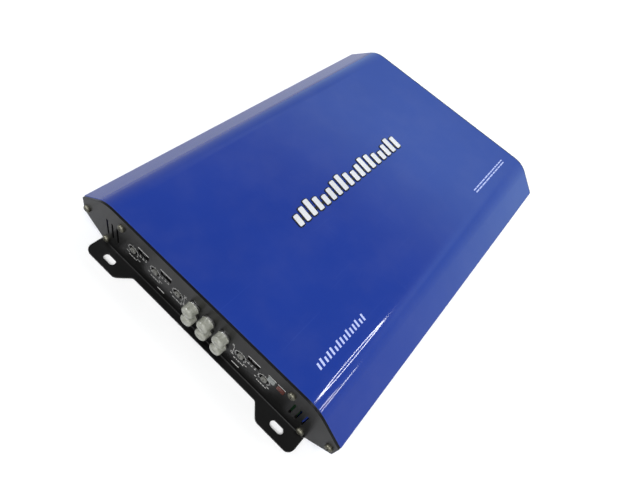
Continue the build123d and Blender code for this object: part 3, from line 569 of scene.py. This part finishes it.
def make_finishes():
    """Every finish, by the slot it fills."""
    made = [
        make_cover_paint(),
        make_plate_coat(),
        make_epoxy_device(),
        make_fuse_plastic(),
        make_soft_vinyl(),
        make_circuit_board(),
        make_copper_winding(),
        metal("nickel_screws", tone(0.2, 0.195, 0.155), tone(0.11, 0.105, 0.08), rough=0.38, swing=0.16,
              grain=0.0005, depth=0.00003, dust=0.06, lines=(900.0, 900.0, 120.0)),
        moulded_finish("badge_silver", tone(0.74, 0.74, 0.75), tone(0.64, 0.64, 0.66), rough=0.3, swing=0.1,
                       grain=0.0004, depth=0.000008, dust=0.04, lines=(70.0, 2600.0, 2600.0),
                       scratches=0.15, Metallic=0.15),
        metal("tinned_metal", tone(0.76, 0.76, 0.75), tone(0.58, 0.58, 0.57), rough=0.24, swing=0.12,
              grain=0.0006, depth=0.00002),
        metal("standoff_brass", tone(0.72, 0.52, 0.22), tone(0.5, 0.34, 0.13), rough=0.3,
              lines=(200.0, 200.0, 2600.0)),
        metal("terminal_brass", tone(0.7, 0.62, 0.42), tone(0.5, 0.42, 0.26), rough=0.3, dust=0.1,
              lines=(2400.0, 60.0, 2400.0)),
        metal("clamp_steel", tone(0.56, 0.57, 0.58), tone(0.4, 0.41, 0.42), rough=0.36,
              lines=(2400.0, 30.0, 2400.0)),
        moulded_finish("badge_black", tone(0.004, 0.004, 0.006), tone(0.002, 0.002, 0.004), rough=0.2,
                       dust=0.008, scratches=0.15, worn=tone(0.02, 0.02, 0.025)),
        moulded_finish("black_moulding", tone(0.022, 0.022, 0.023), tone(0.014, 0.014, 0.015), rough=0.5,
                       grain=0.0008, depth=0.00005, dust=0.22, worn=tone(0.07, 0.07, 0.07)),
        moulded_finish("white_insulator", tone(0.8, 0.78, 0.72), tone(0.7, 0.68, 0.6), rough=0.35,
                       dust=0.2),
        moulded_finish("pot_case", tone(0.02, 0.03, 0.06), tone(0.012, 0.018, 0.04), rough=0.42, dust=0.2),
        moulded_finish("spindle_grey", tone(0.14, 0.14, 0.128), tone(0.08, 0.08, 0.072), rough=0.36,
                       depth=0.00003, dust=0.03, worn=tone(0.34, 0.34, 0.31), rub=0.0003),
        moulded_finish("slider_black", tone(0.03, 0.03, 0.03), tone(0.018, 0.018, 0.018), rough=0.42,
                       dust=0.15, worn=tone(0.12, 0.12, 0.12), rub=0.0002),
        moulded_finish("clear_lens", tone(0.29, 0.31, 0.3), tone(0.2, 0.22, 0.21), rough=0.2,
                       dust=0.05, Transmission_Weight=0.35),
        moulded_finish("red_lens", tone(0.11, 0.016, 0.006), tone(0.06, 0.009, 0.004), rough=0.2,
                       dust=0.02, Transmission_Weight=0.25),
        moulded_finish("ferrite", tone(0.06, 0.06, 0.065), tone(0.035, 0.035, 0.04), rough=0.6,
                       grain=0.0007, depth=0.00006, worn=tone(0.16, 0.16, 0.17)),
        moulded_finish("capacitor_sleeve", tone(0.012, 0.016, 0.05), tone(0.007, 0.009, 0.03), rough=0.26,
                       grain=0.0012),
        moulded_finish("thermal_pad", tone(0.36, 0.36, 0.37), tone(0.28, 0.28, 0.29), rough=0.75,
                       grain=0.0009, depth=0.00005),
        moulded_finish("panel_ink", tone(0.62, 0.62, 0.6), tone(0.34, 0.34, 0.33), rough=0.55,
                       grain=0.0004, depth=0.00001, dust=0.05),
        moulded_finish("cover_ink", tone(0.5, 0.56, 0.85), tone(0.4, 0.46, 0.78), rough=0.4,
                       grain=0.0004, depth=0.00001, dust=0.08),
    ]
    return {material.name: material for material in made}


def dress_frame(finishes):
    """Give every node of the frame its finish, in place of the plain material of that name."""
    for node in nodes.values():
        for place in node.material_slots:
            place.material = finishes[place.material.name.replace("plain_", "")]


# ------------------------------------------------------------------ soft dust caps
def add_dust_cap(number, finish):
    """A soft moulded cap: an open sleeve with a beaded rim and a rounded, dimpled nose, in one lathed skin.

    Its points are a distance from the axis and one along it, from the rim at the panel.
    """
    node, name = f"rca_cap_{number}", f"soft_cap_{number}"
    low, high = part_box(node)
    radius = (high.x - low.x) / 2
    length = high.y - low.y
    nose, bead, fillet = 2.3 * MM, 0.35 * MM, 0.8 * MM
    sleeve = radius - 0.2 * MM
    bore, floor = radius - 0.75 * MM, length - 1.2 * MM
    rim = [(bore, 0.0), (radius - bead, 0.0)]
    rim += [
        (radius - bead + bead * math.sin(turn), bead - bead * math.cos(turn))
        for turn in (math.radians(angle) for angle in range(30, 151, 30))
    ]
    side = [(radius - 0.22 * MM, 2.2 * bead), (sleeve, length - nose - 0.4 * MM)]
    side += [
        (sleeve - nose + nose * math.cos(turn), length - nose + nose * math.sin(turn))
        for turn in (math.radians(angle) for angle in range(0, 91, 10))
    ]
    dimple = [(0.9 * MM, length - 0.05 * MM), (0.7 * MM, length - 0.28 * MM), (0.0, length - 0.3 * MM)]
    inside = [(0.0, floor), (bore - fillet, floor), (bore, floor - fillet)]
    work = bmesh.new()
    count = 56
    rings = []
    for reach, along in inside + rim + side + dimple:
        if reach == 0.0:
            rings.append([work.verts.new((0.0, -along, 0.0))])
            continue
        rings.append([
            work.verts.new((reach * math.cos(turn), -along, reach * math.sin(turn)))
            for turn in turns_round(count)
        ])
    for first, second in zip(rings, rings[1:]):
        for index in range(count):
            after = (index + 1) % count
            corners = [first[index % len(first)], first[after % len(first)],
                       second[after % len(second)], second[index % len(second)]]
            work.faces.new(list(dict.fromkeys(corners)))
    bmesh.ops.recalc_face_normals(work, faces=work.faces)
    cap = add_mesh(name, work, finish)
    cap.data.shade_smooth()
    cap.location = ((low.x + high.x) / 2, high.y, (low.z + high.z) / 2)
    cap.rotation_euler.y = math.radians(37.0 * number)
    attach(cap, f"dust_cap_{number}")
    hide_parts(node)


# ------------------------------------------------------------------ printed marks
class Print:
    """Thin strokes of ink on one flat face, measured along it in metres.

    The ink stands proud of the face, and its underside is keyed a little way into it.
    """

    INK = 0.05 * MM
    KEYED = 0.01 * MM

    def __init__(self, origin, right, up):
        self.origin, self.right, self.up = Vector(origin), Vector(right), Vector(up)
        self.out = self.right.cross(self.up)
        self.work = bmesh.new()

    def band(self, left, right):
        """A raised strip between two rows of points on the face."""
        rows = []
        for height in (-self.KEYED, self.INK):
            for side in (left, right):
                rows.append([
                    self.work.verts.new(self.origin + self.right * u + self.up * v + self.out * height)
                    for u, v in side
                ])
        under_left, under_right, over_left, over_right = rows
        new_face = self.work.faces.new
        for index in range(len(left) - 1):
            after = index + 1
            new_face((over_left[index], over_right[index], over_right[after], over_left[after]))
            new_face((under_left[index], under_left[after], under_right[after], under_right[index]))
            new_face((under_left[index], over_left[index], over_left[after], under_left[after]))
            new_face((under_right[index], under_right[after], over_right[after], over_right[index]))
        new_face((under_left[0], under_right[0], over_right[0], over_left[0]))
        new_face((under_left[-1], over_left[-1], over_right[-1], under_right[-1]))

    def bar(self, u, v, wide, tall, lean=0.0):
        """A straight bar centred at u, v; lean moves its top sideways."""
        shift, half, rise = lean / 2, wide / 2, tall / 2
        self.band(
            [(u - half - shift, v - rise), (u - half + shift, v + rise)],
            [(u + half - shift, v - rise), (u + half + shift, v + rise)],
        )

    def stroke(self, start, end, thick):
        """A straight line between two points."""
        start, end = Vector(start), Vector(end)
        run = end - start
        side = Vector((-run.y, run.x)).normalized() * thick / 2
        self.band([start + side, end + side], [start - side, end - side])

    def arc(self, u, v, radius, start, end, thick):
        """Part of a ring round u, v, from start to end in degrees."""
        steps = max(4, int(abs(end - start) / 9))
        turns = [math.radians(start + (end - start) * step / steps) for step in range(steps + 1)]
        self.band(*[
            [(u + reach * math.cos(turn), v + reach * math.sin(turn)) for turn in turns]
            for reach in (radius + thick / 2, radius - thick / 2)
        ])

    def tick(self, u, v, radius, angle, long, thick):
        """A short line pointing away from u, v."""
        way = Vector((math.cos(math.radians(angle)), math.sin(math.radians(angle))))
        centre = Vector((u, v))
        self.stroke(centre + way * radius, centre + way * (radius + long), thick)

    def dashes(self, u, v, wide, tall, chance, gap=0.0006, shortest=0.0008, longest=0.002):
        """A row of dashes of uneven length, centred at u, v."""
        reach = u - wide / 2
        while reach < u + wide / 2 - shortest:
            long = min(chance.uniform(shortest, longest), u + wide / 2 - reach)
            self.bar(reach + long / 2, v, long, tall)
            reach += long + gap

    def finish(self, name, ink, slot):
        """All the strokes as one piece that rides the case."""
        bmesh.ops.recalc_face_normals(self.work, faces=self.work.faces)
        piece = add_mesh(name, self.work, ink)
        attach(piece, "case")


def print_control_panel(ink):
    """Scale arcs round the controls, lines over windows and lights, and rows of dashes."""
    chance = random.Random(41)
    panel = Print((0.0, control_face, 0.0), (1.0, 0.0, 0.0), (0.0, 0.0, 1.0))
    # Round each control: a scale arc with its ticks, two short dashes and a longer row below.
    sweep, ticks = 270.0, 11
    for name in ("front_level", "front_highpass", "bass_boost", "rear_level", "rear_lowpass"):
        spot = middle(f"pot_spindle_{name}")
        panel.arc(spot.x, spot.z, 4.7 * MM, 90.0 - sweep / 2, 90.0 + sweep / 2, 0.2 * MM)
        for step in range(ticks):
            angle = 90.0 + sweep / 2 - sweep * step / (ticks - 1)
            long = 0.55 * MM if step % 5 else 1.0 * MM
            panel.tick(spot.x, spot.z, 4.9 * MM, angle, long, 0.24 * MM)
        for side in (-1, 1):
            panel.dashes(spot.x + side * 5.4 * MM, spot.z - 6.6 * MM, 3.0 * MM, 0.7 * MM, chance)
        panel.dashes(spot.x, spot.z - 9.4 * MM, 9.0 * MM, 0.9 * MM, chance)
    # At each switch window: a line over it, and three ticks with short dashes under it.
    for name in ("front_crossover", "input_mode", "rear_crossover"):
        spot = middle(f"switch_body_{name}")
        panel.bar(spot.x, spot.z + 3.4 * MM, 10.4 * MM, 0.75 * MM)
        for side in (-1, 0, 1):
            across = spot.x + side * 2.9 * MM
            panel.bar(across, spot.z - 3.9 * MM, 0.3 * MM, 1.1 * MM)
            panel.dashes(across, spot.z - 6.0 * MM, 2.0 * MM, 0.8 * MM, chance)
    # A line over each light, and a thick bar low down on either side of the jacks.
    for name in ("power_light", "protect_light"):
        spot = middle(name)
        panel.bar(spot.x, spot.z + 4.3 * MM, 6.6 * MM, 0.6 * MM)
    bars_middle, bars_level = -1.6 * MM, 8.65 * MM
    for side in (-1, 1):
        panel.bar(bars_middle + side * 36.8 * MM, bars_level, 6.8 * MM, 1.3 * MM)
    # A bracket on either side of the jacks, with an arm and a short dash for each row.
    jacks = middle("rca_jack_shells")
    reach, rise, thin = 23.2 * MM, 5.5 * MM, 0.25 * MM
    for side in (-1, 1):
        across = jacks.x + side * reach
        for level in (jacks.z + rise, jacks.z - rise):
            panel.stroke((across, level), (across - side * 2.0 * MM, level), thin)
            panel.dashes(across - side * 0.6 * MM, level + 1.6 * MM, 2.4 * MM, 0.6 * MM, chance)
        panel.stroke((across, jacks.z - rise - 0.1 * MM), (across, jacks.z + rise + 0.1 * MM), thin)
    panel.finish("panel_print", ink, "white_insulator")


def terminal_cells(block, count):
    """Where the cells of a terminal block lie on the terminal panel, their pitch, and a level above them."""
    low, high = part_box(block)
    end_wall = 1.0 * MM
    pitch = (high.x - low.x - 2 * end_wall) / count
    places = [-(low.x + end_wall + pitch * (cell + 0.5)) for cell in range(count)]
    return places, pitch, high.z + 2.6 * MM


def print_terminal_panel(ink):
    """Polarity marks over each speaker clamp, group lines, and bars over the fuses."""
    chance = random.Random(43)
    panel = Print((0.0, terminal_face, 0.0), (-1.0, 0.0, 0.0), (0.0, 0.0, 1.0))
    line = 0.4 * MM
    places, pitch, above = terminal_cells("speaker_terminal_block", 8)
    for cell, u in enumerate(places):
        panel.bar(u, above, 2.2 * MM, 0.5 * MM)
        if cell % 2:
            panel.bar(u, above, 0.5 * MM, 2.2 * MM)
    group_line = above + 2.6 * MM
    for first, second in zip(places[::2], places[1::2]):
        u, reach = (first + second) / 2, 0.85 * pitch
        panel.stroke((u - reach, group_line), (u + reach, group_line), line)
        panel.dashes(u, group_line + 2.0 * MM, 11.0 * MM, 1.3 * MM, chance)
    places, pitch, above = terminal_cells("power_terminal_block", 3)
    for u in places:
        reach, over = 0.4 * pitch, above + 1.9 * MM
        panel.dashes(u, above, 8.5 * MM, 1.4 * MM, chance)
        panel.stroke((u - reach, over), (u + reach, over), line)
    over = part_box("fuse_holder")[1].z + 2.2 * MM
    for name in ("fuse_1", "fuse_2"):
        u = -middle(name).x
        panel.bar(u, over, 6.5 * MM, 0.6 * MM)
        panel.dashes(u, over + 2.0 * MM, 5.6 * MM, 1.2 * MM, chance)
    panel.finish("terminal_print", ink, "white_insulator")


def print_cover_top(ink):
    """A row of leaning level bars at the control end, two fine broken lines at the other."""
    chance = random.Random(47)
    top = Print((0.0, 0.0, top_face), (0.0, 1.0, 0.0), (-1.0, 0.0, 0.0))
    first_bar, foot, pitch = -143.0 * MM, -80.2 * MM, 3.4 * MM
    for step in range(15):
        tall = (3.2 + 2.2 * abs(math.sin(1.15 * step + 0.6))) * MM
        top.bar(first_bar + step * pitch, foot + tall / 2, 1.5 * MM, tall, lean=0.2 * tall)
    for row in (-76.8 * MM, -79.5 * MM):
        top.dashes(114.6 * MM, row, 62.6 * MM, 1.15 * MM, chance,
                   gap=0.9 * MM, shortest=3.0 * MM, longest=8.0 * MM)
    top.finish("cover_print", ink, "badge_silver")


# ------------------------------------------------------------------ floor
def add_floor():
    """A plain pale floor under the flanges; its reflection in the object is a little darker."""
    material, wiring, shader = start_finish("pale_floor")
    surface = wiring.place("surface_grain", Grain_Size=0.004, Drift_Size=1.2)
    seen = wiring.mix(surface["Drift"], tone(0.92, 0.92, 0.92), tone(0.95, 0.95, 0.95))
    mirrored = wiring.mix(surface["Drift"], tone(0.58, 0.58, 0.59), tone(0.62, 0.62, 0.63))
    direct = wiring.add("ShaderNodeLightPath").outputs["Is Camera Ray"]
    wiring.feed(shader.inputs["Base Color"], wiring.mix(direct, mirrored, seen))
    wiring.feed(shader.inputs["Roughness"], wiring.calc("MULTIPLY_ADD", surface["Height"], 0.1, 0.85))
    shader.inputs["Specular IOR Level"].default_value = 0.1
    work = bmesh.new()
    bmesh.ops.create_grid(work, x_segments=8, y_segments=8, size=6.0)
    floor = add_mesh("pale_floor", work, material)
    floor.location.z = cad_box[0][2] - 0.2 * MM


# ------------------------------------------------------------------ everything in turn
set_camera()
set_world()
set_sun()
set_ring_lamp()
set_tube_lamps()
set_panel_lamp()
build_surface_grain()
build_orange_peel()
build_dust_film()
build_edge_wear()
build_hairline_scratches()
build_drawn_lines()
finishes = make_finishes()
dress_frame(finishes)
for number in range(1, 7):
    add_dust_cap(number, finishes["soft_cap"])
print_control_panel(finishes["panel_ink"])
print_terminal_panel(finishes["panel_ink"])
print_cover_top(finishes["cover_ink"])
add_floor()
bpy.context.scene.view_settings.view_transform = "Standard"
bpy.context.scene.view_settings.look = "None"
